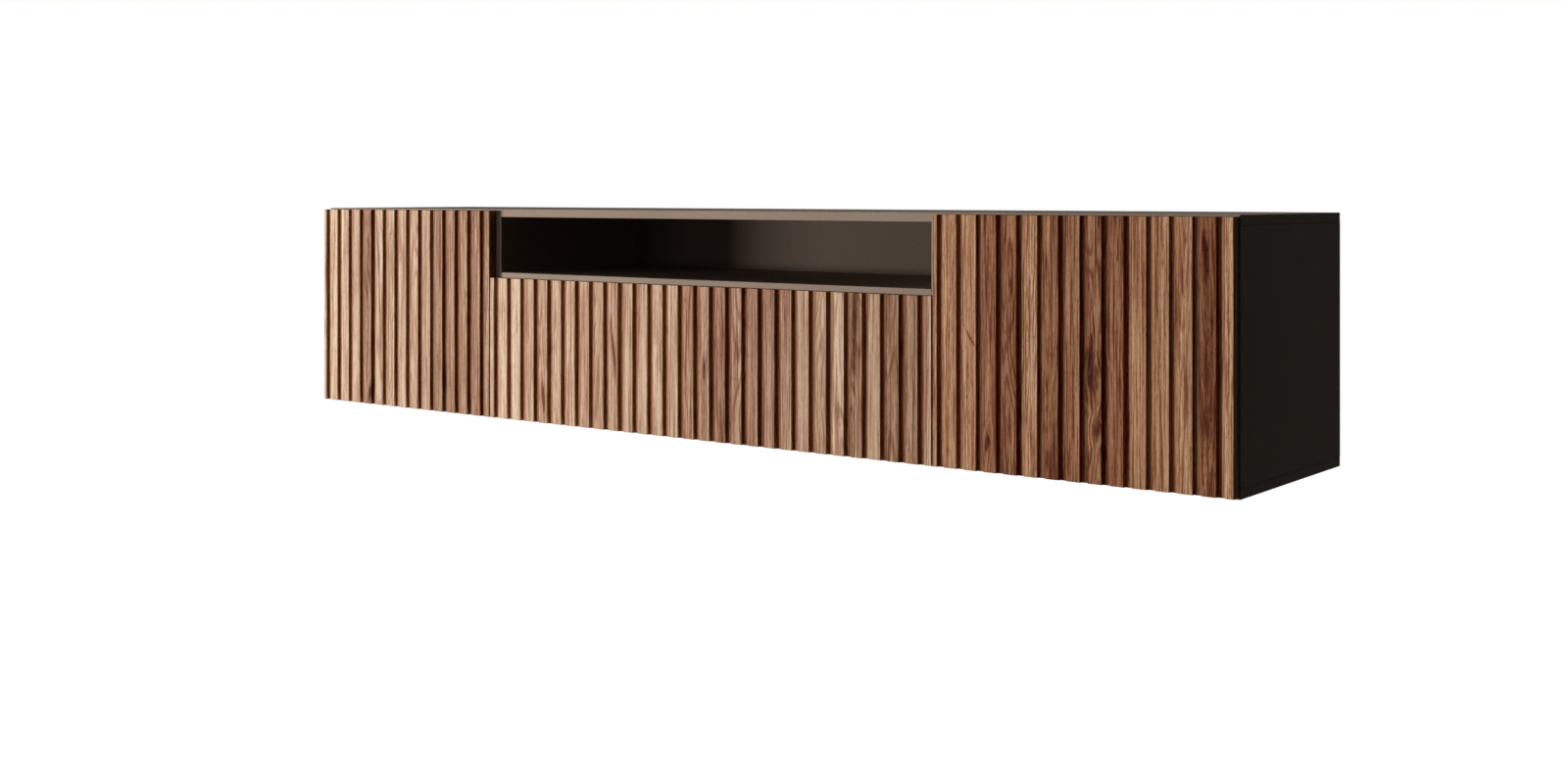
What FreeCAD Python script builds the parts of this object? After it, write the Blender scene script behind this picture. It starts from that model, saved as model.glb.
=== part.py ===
import FreeCAD, Part
import math
import os
import re

import Sketcher

# Wall-hung media console, 2 m long.  Millimetres, +X to the right, +Y towards the wall, +Z up.
# The origin lies on the wall, midway between the four wall screws that carry the cabinet.

V = FreeCAD.Vector
doc = FreeCAD.newDocument("floating_media_console")

# ---------------------------------------------------------------------------------------------
# Driving dimensions, kept in one sheet
# ---------------------------------------------------------------------------------------------

SIZES = [
    # carcass
    ("carcass_width", 2000),
    ("carcass_height", 400),
    ("carcass_depth", 390),
    ("board", 15),
    ("divider_board", 25),
    ("side_bay", 500),
    ("niche_height", 106),
    ("edge_round", 1),
    ("front_round", 0.8),
    ("back_thickness", 3),
    ("back_rebate", 8),
    ("back_fit", 0.3),
    ("cable_hole_width", 80),
    ("cable_hole_height", 50),
    ("cable_hole_rise", 60),
    # fronts
    ("front_thickness", 16),
    ("front_gap", 2),
    ("end_reveal", 2.5),
    ("top_reveal", 3),
    ("split_gap", 3),
    ("flap_overlap", 5),
    ("slat_pitch", 35.6),
    ("groove_width", 13),
    ("groove_depth", 5.5),
    ("groove_bevel", 0.6),
    ("door_first_slat", 7.5),
    ("flap_first_slat", 10.5),
    # shelves in the side bays
    ("shelf_rise", 192),
    ("shelf_setback", 20),
    ("shelf_play", 1.5),
    ("pin_radius", 2.5),
    ("pin_sunk", 9),
    ("pin_reach", 9),
    ("pin_inset", 50),
    ("pin_row_pitch", 32),
    ("pin_row_count", 3),
    ("pin_collar_radius", 4),
    ("pin_collar_thickness", 1.2),
    # concealed hinges
    ("hinge_end", 80),
    ("flap_hinge_end", 107.5),
    ("cup_radius", 17.5),
    ("cup_depth", 9.6),
    ("cup_wall", 1.5),
    ("cup_floor", 0.8),
    ("cup_edge", 3),
    ("cup_fit", 0.1),
    ("cup_relief_rise", 3),
    ("cup_relief_play", 0.8),
    ("flange_length", 62),
    ("flange_width", 15),
    ("flange_thickness", 1),
    ("cup_pin_inset", 8),
    ("cup_pin_depth", 6),
    ("arm_pin_inset", 26),
    ("arm_pin_depth", 4),
    ("hinge_pin_radius", 1.2),
    ("hinge_pin_play", 0.05),
    ("hinge_pin_end", 0.3),
    ("link_half_width", 6),
    ("link_thickness", 2.6),
    ("link_eye_radius", 2.2),
    ("link_dip", 1.6),
    ("link_first_bend", 0.36),
    ("link_second_bend", 0.68),
    ("arm_wall", 1.4),
    ("arm_play", 0.4),
    ("arm_height", 8),
    ("arm_length", 62),
    ("arm_eye_radius", 3.2),
    ("arm_shoulder", 12),
    ("arm_neck", 3),
    ("arm_slope", 4),
    ("arm_screw_radius", 2.6),
    ("arm_screw_first", 30),
    ("arm_screw_second", 48),
    ("plate_thickness", 3),
    ("plate_length", 44),
    ("plate_wing", 44),
    ("plate_wing_radius", 8),
    ("plate_rail", 4),
    ("plate_setback", 15),
    ("screw_hole_radius", 2.1),
    # push latches and the discs that they push
    ("latch_width", 14),
    ("latch_height", 14),
    ("latch_length", 72),
    ("latch_setback", 1),
    ("latch_end", 34),
    ("latch_ear_width", 9),
    ("latch_ear_length", 40),
    ("latch_ear_thickness", 2.5),
    ("latch_ear_hole", 1.8),
    ("latch_hole_pitch", 26),
    ("plunger_radius", 3.5),
    ("plunger_play", 0.2),
    ("plunger_tip_radius", 5),
    ("plunger_tip_length", 2),
    ("plunger_length", 56),
    ("disc_radius", 7),
    ("disc_thickness", 1),
    ("disc_fit", 0.1),
    ("rest_gap", 0.3),
    # bump pads
    ("bump_radius", 4),
    ("bump_inset", 12),
    ("bump_margin", 2),
    # flap stays
    ("stay_pin_rise", 135),
    ("stay_pin_depth", 117),
    ("stay_pivot_rise", 183.1),
    ("stay_pivot_depth", 6),
    ("stay_pin_radius", 3),
    ("stay_slot_play", 0.3),
    ("stay_width", 14),
    ("stay_thickness", 2),
    ("stay_side_gap", 6),
    ("stay_closed_reach", 121),
    ("stay_open_reach", 323.6),
    ("stay_head_radius", 5.5),
    ("stay_head_length", 2),
    ("stay_play", 0.3),
    ("post_plate_radius", 11),
    ("post_plate_thickness", 3),
    ("post_collar_radius", 6),
    ("lug_half_height", 11),
    ("lug_wall", 3),
    ("lug_foot", 19),
    ("lug_foot_thickness", 1.7),
    ("lug_nose", 6),
    ("lug_hole_inset", 11.4),
    ("lug_hole_pitch", 11),
    # hanging hardware
    ("hang_drop", 63),
    ("wall_screw_edge", 70),
    ("wall_screw_pitch", 24),
    ("wall_screw_radius", 2.75),
    ("wall_plate_width", 68),
    ("wall_plate_metal", 2),
    ("wall_plate_margin", 10),
    ("hook_channel", 4),
    ("hook_lip", 14),
    ("hook_metal", 2),
    ("hook_width", 14),
    ("hook_reach", 10),
    ("hook_drop", 12),
    ("hook_margin", 1),
    ("hanger_width", 18),
    ("hanger_depth", 60),
    ("hanger_height", 50),
    ("hanger_top_gap", 2),
    ("hanger_screw_radius", 3.5),
    ("hanger_screw_depth", 6),
    ("hanger_screw_pitch", 24),
    ("notch_margin", 6),
    # knock-down fittings
    ("cam_radius", 7.5),
    ("cam_depth", 11),
    ("cam_edge", 24),
    ("cam_setback", 100),
    ("dowel_radius", 4),
    ("dowel_length", 30),
    ("dowel_sunk", 10),
    ("dowel_offset", 32),
    ("fitting_play", 0.1),
]

sheet = doc.addObject("Spreadsheet::Sheet", "Sizes")
for row, (alias, value) in enumerate(SIZES, start=1):
    sheet.set(f"A{row}", alias)
    sheet.set(f"B{row}", str(value))
    sheet.setAlias(f"B{row}", alias)
doc.recompute()
size = {alias: float(sheet.get(alias)) for alias, value in SIZES}

# Places that many pieces share, as expressions on the sheet
HALF = "carcass_width / 2"
TOP = "hang_drop"
BOTTOM = "(hang_drop - carcass_height)"
UNDER_TOP = "(hang_drop - board)"
FLOOR = "(hang_drop - carcass_height + board)"
SIDE_FACE = "(carcass_width / 2 - board)"
SPLIT = "(carcass_width / 2 - side_bay)"
DIVIDER_OUT = "(carcass_width / 2 - side_bay + divider_board / 2)"
DIVIDER_IN = "(carcass_width / 2 - side_bay - divider_board / 2)"
NICHE_UNDER = "(hang_drop - 2 * board - niche_height)"
FRONT_BACK = "(carcass_depth + front_gap)"
FRONT_FACE = "(carcass_depth + front_gap + front_thickness)"
DOOR_WIDTH = "(side_bay - end_reveal - split_gap / 2)"
DOOR_HEIGHT = "(carcass_height - end_reveal - top_reveal)"
FLAP_WIDTH = "(carcass_width - 2 * side_bay - split_gap)"
FLAP_HEIGHT = "(carcass_height - 2 * board - niche_height + flap_overlap - end_reveal)"
CUP_CENTRE = "(cup_edge + cup_radius)"
WALL_SCREW = "(carcass_width / 2 - wall_screw_edge)"

nodes = []


def on_sheet(text):
    """Put the sheet's name in front of every size that an expression names."""
    return re.sub(r"[a-z][a-z_]+(?!\w*\()", lambda word: "Sizes." + word.group(), text)


def value_of(text):
    """The number that an expression on the sheet comes to."""
    return float(sheet.evalExpression(on_sheet(text)))


def bind(thing, **links):
    for prop, text in links.items():
        thing.setExpression(prop, on_sheet(text))
    return thing


def place(thing, px, py, pz):
    for axis, text in zip("xyz", (px, py, pz)):
        thing.setExpression("Placement.Base." + axis, on_sheet(text))
    return thing


def box(name, length, width, height, px, py, pz):
    """A block whose sizes and lowest corner are expressions."""
    solid = doc.addObject("Part::Box", name)
    bind(solid, Length=length, Width=width, Height=height)
    return place(solid, px, py, pz)


def rod(name, radius, height, px, py, pz, along="z"):
    """A cylinder that starts at a point and runs towards +X, +Y or +Z."""
    solid = doc.addObject("Part::Cylinder", name)
    bind(solid, Radius=radius, Height=height)
    turn = {"x": (V(0, 1, 0), 90), "y": (V(1, 0, 0), -90), "z": (V(0, 0, 1), 0)}[along]
    solid.Placement.Rotation = FreeCAD.Rotation(*turn)
    return place(solid, px, py, pz)


def fused(name, pieces):
    whole = doc.addObject("Part::MultiFuse", name)
    whole.Shapes = pieces
    return whole


def cut(name, base, tools):
    """The base piece less every tool."""
    tool = tools[0] if len(tools) == 1 else fused(name + "_tools", tools)
    whole = doc.addObject("Part::Cut", name)
    whole.Base = base
    whole.Tool = tool
    return whole


def group(name, pieces):
    """Like pieces that share a node, each still a solid of its own."""
    whole = doc.addObject("Part::Compound", name)
    whole.Links = pieces
    return whole


def node(thing, label):
    """Mark an object as a sub-part and give it the name of its file."""
    thing.Label = label
    nodes.append(thing)
    return thing


def shape_node(label, solids):
    """A node whose solids are made with Part's own functions."""
    thing = doc.addObject("Part::Feature", label)
    thing.Shape = solids[0] if len(solids) == 1 else Part.makeCompound(solids)
    return node(thing, label)


def sketch_on(body, role, name):
    """A sketch on one of the body's own origin planes."""
    sketch = body.newObject("Sketcher::SketchObject", name)
    plane = [f for f in body.Origin.OriginFeatures if f.Role == role][0]
    sketch.AttachmentSupport = [(plane, "")]
    sketch.MapMode = "FlatFace"
    return sketch


def dimension(sketch, reference, text):
    """Add a driving dimension and bind it to the sheet."""
    index = sketch.addConstraint(Sketcher.Constraint(*reference, value_of(text)))
    sketch.setExpression(f"Constraints[{index}]", on_sheet(text))


def rectangle(sketch, width, height):
    """A rectangle whose lower left corner is the sketch's origin."""
    points = [V(0, 0, 0), V(9, 0, 0), V(9, 9, 0), V(0, 9, 0)]
    for number in range(4):
        sketch.addGeometry(Part.LineSegment(points[number], points[(number + 1) % 4]))
    for number in range(4):
        sketch.addConstraint(Sketcher.Constraint("Coincident", number, 2, (number + 1) % 4, 1))
    for number, kind in enumerate(("Horizontal", "Vertical", "Horizontal", "Vertical")):
        sketch.addConstraint(Sketcher.Constraint(kind, number))
    sketch.addConstraint(Sketcher.Constraint("Coincident", 0, 1, -1, 1))
    dimension(sketch, ("DistanceX", 0, 1, 0, 2), width)
    dimension(sketch, ("DistanceY", 1, 1, 1, 2), height)


def circle(sketch, px, py, radius):
    index = sketch.addGeometry(Part.Circle(V(5, 5, 0), V(0, 0, 1), 2))
    dimension(sketch, ("Radius", index), radius)
    dimension(sketch, ("DistanceX", -1, 1, index, 3), px)
    dimension(sketch, ("DistanceY", -1, 1, index, 3), py)


def edge_names(shape, all_round=False):
    """Names of a body's edges: those in its front face, at y = 0, or every one."""
    return [f"Edge{number}" for number, edge in enumerate(shape.Edges, start=1)
            if all_round or edge.BoundBox.YMax < 1e-6]


# ---------------------------------------------------------------------------------------------
# Carcass boards
# ---------------------------------------------------------------------------------------------


def fitting_stations():
    """Depths, from the wall, of the cam fittings on each joint of the carcass."""
    return ["cam_setback", "(carcass_depth - cam_setback)"]


def dowel_stations():
    return ["(cam_setback + dowel_offset)", "(carcass_depth - cam_setback - dowel_offset)"]


# Middle of the thickness of the four upright boards, left to right
UPRIGHTS = {
    "left_side_panel": "-(carcass_width - board) / 2",
    "left_divider": "-" + SPLIT,
    "right_divider": SPLIT,
    "right_side_panel": "(carcass_width - board) / 2",
}


def dowel_holes(board_name, start):
    """Blind holes for the dowels, from the face of a top or bottom panel inwards."""
    holes = []
    for upright, middle in UPRIGHTS.items():
        for number, depth in enumerate(dowel_stations()):
            name = f"{board_name}_{upright}_dowel_hole_{number}"
            radius = "dowel_radius + fitting_play"
            holes.append(rod(name, radius, "dowel_sunk + fitting_play", middle, "-" + depth, start))
    return holes


def rounded_board(name, length, depth, thickness, px, py, pz, all_round=False):
    """A board whose edges are rounded: those at its front, or every one."""
    body = doc.addObject("PartDesign::Body", name)
    outline = sketch_on(body, "XY_Plane", name + "_outline")
    rectangle(outline, length, depth)
    pad = body.newObject("PartDesign::Pad", name + "_pad")
    pad.Profile = outline
    bind(pad, Length=thickness)
    doc.recompute()
    fillet = body.newObject("PartDesign::Fillet", name + "_rounding")
    fillet.Base = (pad, edge_names(pad.Shape, all_round))
    bind(fillet, Radius="edge_round")
    body.Tip = fillet
    return place(body, px, py, pz)


def wide_panel(label, pz, rebate_z, hole_start):
    """Top or bottom panel: full length, rebated along the back for the back panel."""
    board = rounded_board(label + "_board", "carcass_width", "carcass_depth", "board",
                          "-carcass_width / 2", "-carcass_depth", pz, all_round=True)
    rebate = box(label + "_rebate", "carcass_width - 2 * (board - back_rebate)",
                 "back_thickness + 1", "back_rebate + 1",
                 "-carcass_width / 2 + board - back_rebate", "-back_thickness", rebate_z)
    return node(cut(label, board, [rebate] + dowel_holes(label, hole_start)), label)


wide_panel("top_panel", UNDER_TOP, UNDER_TOP + " - 1", UNDER_TOP)
wide_panel("bottom_panel", BOTTOM, FLOOR + " - back_rebate", FLOOR + " - dowel_sunk")


def upright(label, thickness, depth, px, cam_face, inner_face, facing, rebate_x=None):
    """A side panel or divider with its cam pockets, dowel holes and shelf pin holes."""
    height = "(carcass_height - 2 * board)"
    board = rounded_board(label + "_board", thickness, depth, height, px, "-carcass_depth",
                          FLOOR)
    tools = []
    middle = UPRIGHTS[label]
    for number, station in enumerate(fitting_stations()):
        for end, level in (("low", FLOOR + " + cam_edge"), ("high", UNDER_TOP + " - cam_edge")):
            tools.append(rod(f"{label}_cam_pocket_{number}_{end}", "cam_radius + fitting_play",
                             "cam_depth + fitting_play", cam_face, "-" + station, level, "x"))
    reach = "(dowel_length - dowel_sunk + fitting_play)"
    for number, station in enumerate(dowel_stations()):
        for end, level in (("low", FLOOR), ("high", f"{UNDER_TOP} - {reach}")):
            tools.append(rod(f"{label}_dowel_hole_{number}_{end}", "dowel_radius + fitting_play",
                             reach, middle, "-" + station, level))
    rows = int(size["pin_row_count"])
    start = inner_face if facing > 0 else f"{inner_face} - pin_sunk"
    for column, station in enumerate(pin_columns()):
        for row in range(rows):
            step = row - (rows - 1) // 2
            level = f"{BOTTOM} + shelf_rise - pin_radius + {step} * pin_row_pitch"
            tools.append(rod(f"{label}_pin_hole_{column}_{row}", "pin_radius", "pin_sunk",
                             start, "-" + station, level, "x"))
    if rebate_x is not None:
        tools.append(box(label + "_rebate", "back_rebate + 1", "back_thickness + 1", height,
                         rebate_x, "-back_thickness", FLOOR))
    return node(cut(label, board, tools), label)


def pin_columns():
    """Depths, from the wall, of the front and rear shelf pins."""
    return ["(back_thickness + pin_inset)", "(carcass_depth - shelf_setback - pin_inset)"]


divider_depth = "carcass_depth - back_thickness"
upright("left_side_panel", "board", "carcass_depth", "-" + HALF,
        f"-{SIDE_FACE} - cam_depth - fitting_play", f"-{SIDE_FACE} - pin_sunk", 1,
        f"-{SIDE_FACE} - back_rebate")
upright("right_side_panel", "board", "carcass_depth", SIDE_FACE,
        SIDE_FACE, f"{SIDE_FACE} + pin_sunk", -1, SIDE_FACE + " - 1")
upright("left_divider", "divider_board", divider_depth, "-" + DIVIDER_OUT,
        "-" + DIVIDER_OUT, "-" + DIVIDER_OUT, 1)
upright("right_divider", "divider_board", divider_depth, DIVIDER_IN,
        f"{DIVIDER_OUT} - cam_depth - fitting_play", DIVIDER_OUT, -1)

node(rounded_board("niche_shelf", f"2 * {DIVIDER_IN}", divider_depth,
                   "board", "-" + DIVIDER_IN, "-carcass_depth", NICHE_UNDER), "niche_shelf")


def back_panel():
    """Thin back, let into the rebate, notched for the hangers and open for cables."""
    length = "(carcass_width - 2 * (board - back_rebate) - 2 * back_fit)"
    height = "(carcass_height - 2 * (board - back_rebate) - 2 * back_fit)"
    panel = box("back_panel_sheet", length, "back_thickness", height,
                f"-{length} / 2", "-back_thickness",
                f"{BOTTOM} + board - back_rebate + back_fit")
    width = "(wall_plate_width + 2 * notch_margin)"
    tools = []
    for name, start in (("left", f"-{SIDE_FACE} - notch_margin"),
                        ("right", f"{SIDE_FACE} + notch_margin - {width}")):
        tools.append(box(f"back_panel_{name}_notch", width, "3 * back_thickness",
                         "hang_drop + wall_screw_pitch / 2 + wall_plate_margin + notch_margin",
                         start, "-2 * back_thickness",
                         "-wall_screw_pitch / 2 - wall_plate_margin - notch_margin"))
    tools.append(box("back_panel_cable_hole", "cable_hole_width", "3 * back_thickness",
                     "cable_hole_height", "-cable_hole_width / 2", "-2 * back_thickness",
                     f"{BOTTOM} + cable_hole_rise"))
    return node(cut("back_panel", panel, tools), "back_panel")


back_panel()


# ---------------------------------------------------------------------------------------------
# Adjustable shelves and their pins
# ---------------------------------------------------------------------------------------------

shelf_length = f"({SIDE_FACE} - {DIVIDER_OUT} - 2 * shelf_play)"
for label, start in (("left_shelf", f"-{SIDE_FACE} + shelf_play"),
                     ("right_shelf", f"{DIVIDER_OUT} + shelf_play")):
    node(rounded_board(label, shelf_length,
                       "carcass_depth - shelf_setback - 2 * back_thickness", "board",
                       start, "-carcass_depth + shelf_setback", f"{BOTTOM} + shelf_rise"),
         label)

pins = []
for number, (face, away) in enumerate((("-" + SIDE_FACE, 1), ("-" + DIVIDER_OUT, -1),
                                       (DIVIDER_OUT, 1), (SIDE_FACE, -1))):
    start = f"{face} - pin_sunk" if away > 0 else f"{face} - pin_reach"
    collar_start = face if away > 0 else f"{face} - pin_collar_thickness"
    level = f"{BOTTOM} + shelf_rise - pin_radius"
    for column, depth in enumerate(pin_columns()):
        name = f"shelf_pin_{number}_{column}"
        shank = rod(name + "_shank", "pin_radius", "pin_sunk + pin_reach",
                    start, "-" + depth, level, "x")
        collar = rod(name + "_collar", "pin_collar_radius", "pin_collar_thickness",
                     collar_start, "-" + depth, level, "x")
        pins.append(fused(name, [shank, collar]))
node(group("shelf_pins", pins), "shelf_pins")


# ---------------------------------------------------------------------------------------------
# Knock-down fittings in the carcass joints
# ---------------------------------------------------------------------------------------------

cams = []
dowels = []
cam_starts = {
    "left_side_panel": f"-{SIDE_FACE} - cam_depth",
    "left_divider": "-" + DIVIDER_OUT,
    "right_divider": f"{DIVIDER_OUT} - cam_depth",
    "right_side_panel": SIDE_FACE,
}
for name, middle in UPRIGHTS.items():
    for number, depth in enumerate(fitting_stations()):
        for end, level in (("low", FLOOR + " + cam_edge"), ("high", UNDER_TOP + " - cam_edge")):
            cams.append(rod(f"cam_{name}_{number}_{end}", "cam_radius", "cam_depth",
                            cam_starts[name], "-" + depth, level, "x"))
    for number, depth in enumerate(dowel_stations()):
        for end, level in (("low", FLOOR + " - dowel_sunk"),
                           ("high", f"{UNDER_TOP} + dowel_sunk - dowel_length")):
            dowels.append(rod(f"dowel_{name}_{number}_{end}", "dowel_radius", "dowel_length",
                              middle, "-" + depth, level))
node(group("cam_fittings", cams), "cam_fittings")
node(group("dowels", dowels), "dowels")


# ---------------------------------------------------------------------------------------------
# Slatted fronts
# ---------------------------------------------------------------------------------------------


def channel(sketch, first, width, depth, bevel):
    """Section of one groove, its mouth bevelled on both sides, open along y = 0."""
    points = [V(9, 0, 0), V(10, 1, 0), V(10, 5, 0), V(20, 5, 0), V(20, 1, 0), V(21, 0, 0)]
    for number, point in enumerate(points):
        sketch.addGeometry(Part.LineSegment(point, points[(number + 1) % 6]))
    for number in range(6):
        sketch.addConstraint(Sketcher.Constraint("Coincident", number, 2, (number + 1) % 6, 1))
    for number in (1, 3):
        sketch.addConstraint(Sketcher.Constraint("Vertical", number))
    for number in (2, 5):
        sketch.addConstraint(Sketcher.Constraint("Horizontal", number))
    sketch.addConstraint(Sketcher.Constraint("PointOnObject", 0, 1, -1))
    dimension(sketch, ("DistanceX", -1, 1, 1, 1), first)
    dimension(sketch, ("DistanceX", 2, 1, 2, 2), width)
    dimension(sketch, ("DistanceY", -1, 1, 2, 1), depth)
    for start, end in (((0, 1), (0, 2)), ((4, 1), (4, 2))):
        dimension(sketch, ("DistanceX", *start, *end), bevel)
    for low, high in (((0, 1), (0, 2)), ((4, 2), (4, 1))):
        dimension(sketch, ("DistanceY", *low, *high), bevel)


def slatted_front(label, width, height, first_slat, cups, discs, px):
    """One board milled with upright grooves; cup and disc recesses in its back."""
    body = doc.addObject("PartDesign::Body", label)
    plan = sketch_on(body, "XY_Plane", label + "_plan")
    rectangle(plan, width, "front_thickness")
    board = body.newObject("PartDesign::Pad", label + "_board")
    board.Profile = plan
    bind(board, Length=height)
    doc.recompute()
    rounding = body.newObject("PartDesign::Fillet", label + "_rounding")
    rounding.Base = (board, edge_names(board.Shape))
    bind(rounding, Radius="front_round")
    section = sketch_on(body, "XY_Plane", label + "_channel")
    channel(section, first_slat, "groove_width", "groove_depth", "groove_bevel")
    doc.recompute()
    groove = body.newObject("PartDesign::Pocket", label + "_groove")
    groove.Profile = section
    groove.Type = "ThroughAll"
    groove.Reversed = True
    doc.recompute()
    grooves = body.newObject("PartDesign::LinearPattern", label + "_grooves")
    grooves.Originals = [groove]
    grooves.Direction = (plan, ["H_Axis"])
    steps = f"floor(({width} - {first_slat} - groove_width) / slat_pitch)"
    bind(grooves, Length=f"slat_pitch * {steps}", Occurrences=f"{steps} + 1")
    body.Tip = grooves
    doc.recompute()
    whole = grooves.Shape.Volume
    for name, spots, radius, depth in (("cup", cups, "cup_radius + cup_fit", "cup_depth"),
                                       ("disc", discs, "disc_radius + disc_fit",
                                        "disc_thickness")):
        holes = sketch_on(body, "XZ_Plane", f"{label}_{name}_places")
        bind(holes, **{"AttachmentOffset.Base.z": "-front_thickness"})
        for sx, sz in spots:
            circle(holes, sx, sz, radius)
        doc.recompute()
        recess = body.newObject("PartDesign::Pocket", f"{label}_{name}_recess")
        recess.Profile = holes
        recess.Reversed = True
        bind(recess, Length=depth)
        doc.recompute()
        if recess.Shape.Volume > whole - 1:
            raise RuntimeError(f"{label}: the {name} recess cuts nothing")
        whole = recess.Shape.Volume
    place(body, px, "-" + FRONT_FACE, f"{BOTTOM} + end_reveal")
    return node(body, label)


# Heights of the door hinges above the door's lower edge, and of its latch disc
door_hinge_levels = ["(hinge_end - end_reveal)", "(carcass_height - hinge_end - end_reveal)"]
disc_level = "(carcass_height - board - latch_height / 2 - end_reveal)"
latch_offset = "(divider_board / 2 + latch_end - split_gap / 2)"
slatted_front("left_door", DOOR_WIDTH, DOOR_HEIGHT, "door_first_slat",
              [(CUP_CENTRE, level) for level in door_hinge_levels],
              [(f"{DOOR_WIDTH} - {latch_offset}", disc_level)], f"-{HALF} + end_reveal")
slatted_front("right_door", DOOR_WIDTH, DOOR_HEIGHT, "door_first_slat",
              [(f"{DOOR_WIDTH} - {CUP_CENTRE}", level) for level in door_hinge_levels],
              [(latch_offset, disc_level)], f"{SPLIT} + split_gap / 2")

flap_hinge_offset = f"({DIVIDER_IN} - flap_hinge_end)"
flap_hinge_places = ["-" + flap_hinge_offset, "0", flap_hinge_offset]
flap_latch_place = f"({DIVIDER_IN} - latch_end)"
flap_disc_level = ("(carcass_height - 2 * board - niche_height - latch_height / 2"
                   " - end_reveal)")
slatted_front("flap", FLAP_WIDTH, FLAP_HEIGHT, "flap_first_slat",
              [(f"{FLAP_WIDTH} / 2 + {spot}", CUP_CENTRE) for spot in flap_hinge_places],
              [(f"{FLAP_WIDTH} / 2 - {flap_latch_place}", flap_disc_level),
               (f"{FLAP_WIDTH} / 2 + {flap_latch_place}", flap_disc_level)],
              f"-{FLAP_WIDTH} / 2")


# ---------------------------------------------------------------------------------------------
# Concealed hinges.  Each is modelled once in its own frame: X from the outer face of the board
# that it is screwed to, Y back from the carcass's front plane, Z along the hinge pins.
# ---------------------------------------------------------------------------------------------

cup_centre = size["end_reveal"] + size["cup_edge"] + size["cup_radius"]
back_face = -size["front_gap"]
cup_pin = V(size["end_reveal"] + size["cup_pin_inset"], back_face - size["cup_pin_depth"], 0)
arm_pin = V(size["end_reveal"] + size["arm_pin_inset"], back_face - size["arm_pin_depth"], 0)


def span(low, high):
    """A block between two corners."""
    return Part.makeBox(high[0] - low[0], high[1] - low[1], high[2] - low[2], V(*low))


def bar(centre, radius, half_length):
    """A round bar along Z, centred on a point."""
    start = centre - V(0, 0, half_length)
    return Part.makeCylinder(radius, 2 * half_length, start, V(0, 0, 1))


def hinge_cup():
    """Drawn steel cup with its two-winged flange, bored for the cup pin."""
    bottom = back_face - size["cup_depth"]
    middle = V(cup_centre, bottom, 0)
    shell = Part.makeCylinder(size["cup_radius"], size["cup_depth"], middle, V(0, 1, 0))
    wing = size["flange_width"] / 2
    reach = size["flange_length"] / 2 - wing
    thick = V(0, size["flange_thickness"], 0)
    flange = span((cup_centre - wing, back_face, -reach),
                  (cup_centre + wing, back_face + size["flange_thickness"], reach))
    for end in (-reach, reach):
        base = V(cup_centre, back_face, end)
        flange = flange.fuse(Part.makeCylinder(wing, thick.Length, base, thick))
        hole = Part.makeCylinder(size["screw_hole_radius"], 3 * thick.Length, base - thick, thick)
        flange = flange.cut(hole)
    hollow = Part.makeCylinder(size["cup_radius"] - size["cup_wall"], 2 * size["cup_depth"],
                               middle + V(0, size["cup_floor"], 0), V(0, 1, 0))
    bore = bar(cup_pin, size["hinge_pin_radius"] + size["hinge_pin_play"],
               size["cup_radius"])
    half = size["link_half_width"] + size["cup_relief_play"]
    relief = span((cup_centre - size["cup_radius"] - 1, cup_pin.y + size["cup_relief_rise"], -half),
                  (cup_pin.x, 0, half))
    return shell.fuse(flange).cut(hollow).cut(bore).cut(relief).removeSplitter()


def hinge_link():
    """Bent steel link between the two pins, with an eye at each end."""
    run = arm_pin - cup_pin
    along = V(run).normalize()
    dip = V(along.y, -along.x, 0) * size["link_dip"]
    bends = [cup_pin + run * size[bend] + dip for bend in ("link_first_bend", "link_second_bend")]
    path = Part.makePolygon([cup_pin, *bends, arm_pin])
    outline = path.makeOffset2D(size["link_thickness"] / 2, 0, False, False, False)
    half = size["link_half_width"]
    strip = Part.Face(outline).extrude(V(0, 0, 2 * half)).translate(V(0, 0, -half))
    for pin in (cup_pin, arm_pin):
        strip = strip.fuse(bar(pin, size["link_eye_radius"], half))
    for pin in (cup_pin, arm_pin):
        strip = strip.cut(bar(pin, size["hinge_pin_radius"] + size["hinge_pin_play"], half + 1))
    return strip.removeSplitter()


def hinge_arm():
    """Channel-shaped arm: it sits on the plate and reaches forward round the arm pin."""
    low = size["board"] + size["plate_thickness"]
    high = low + size["arm_height"]
    half = size["link_half_width"] + size["arm_play"] + size["arm_wall"]
    eye = size["arm_eye_radius"]
    shoulder = size["arm_shoulder"]
    neck = size["arm_neck"]
    slope = size["arm_slope"]
    points = [V(low, size["arm_length"], 0), V(low, shoulder, 0), V(arm_pin.x - eye, neck, 0),
              V(arm_pin.x - eye, arm_pin.y, 0), V(arm_pin.x + eye, arm_pin.y, 0),
              V(arm_pin.x + eye, slope, 0), V(high, shoulder + slope, 0),
              V(high, size["arm_length"], 0)]
    outline = Part.makePolygon(points + [points[0]])
    whole = Part.Face(outline).extrude(V(0, 0, 2 * half)).translate(V(0, 0, -half))
    whole = whole.fuse(bar(arm_pin, eye, half))
    inside = half - size["arm_wall"]
    split = shoulder - neck
    slot = span((low - 1, arm_pin.y - 2 * eye, -inside), (arm_pin.x + eye + 1, split, inside))
    under = span((low - 1, split, -inside),
                 (high - size["arm_wall"], size["arm_length"] + 1, inside))
    bore = bar(arm_pin, size["hinge_pin_radius"] + size["hinge_pin_play"], half + 1)
    whole = whole.cut(slot).cut(under).cut(bore)
    for station in (size["arm_screw_first"], size["arm_screw_second"]):
        whole = whole.cut(Part.makeCylinder(size["arm_screw_radius"], size["arm_height"],
                                            V(low + 1, station, 0), V(1, 0, 0)))
    return whole.removeSplitter()


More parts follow.
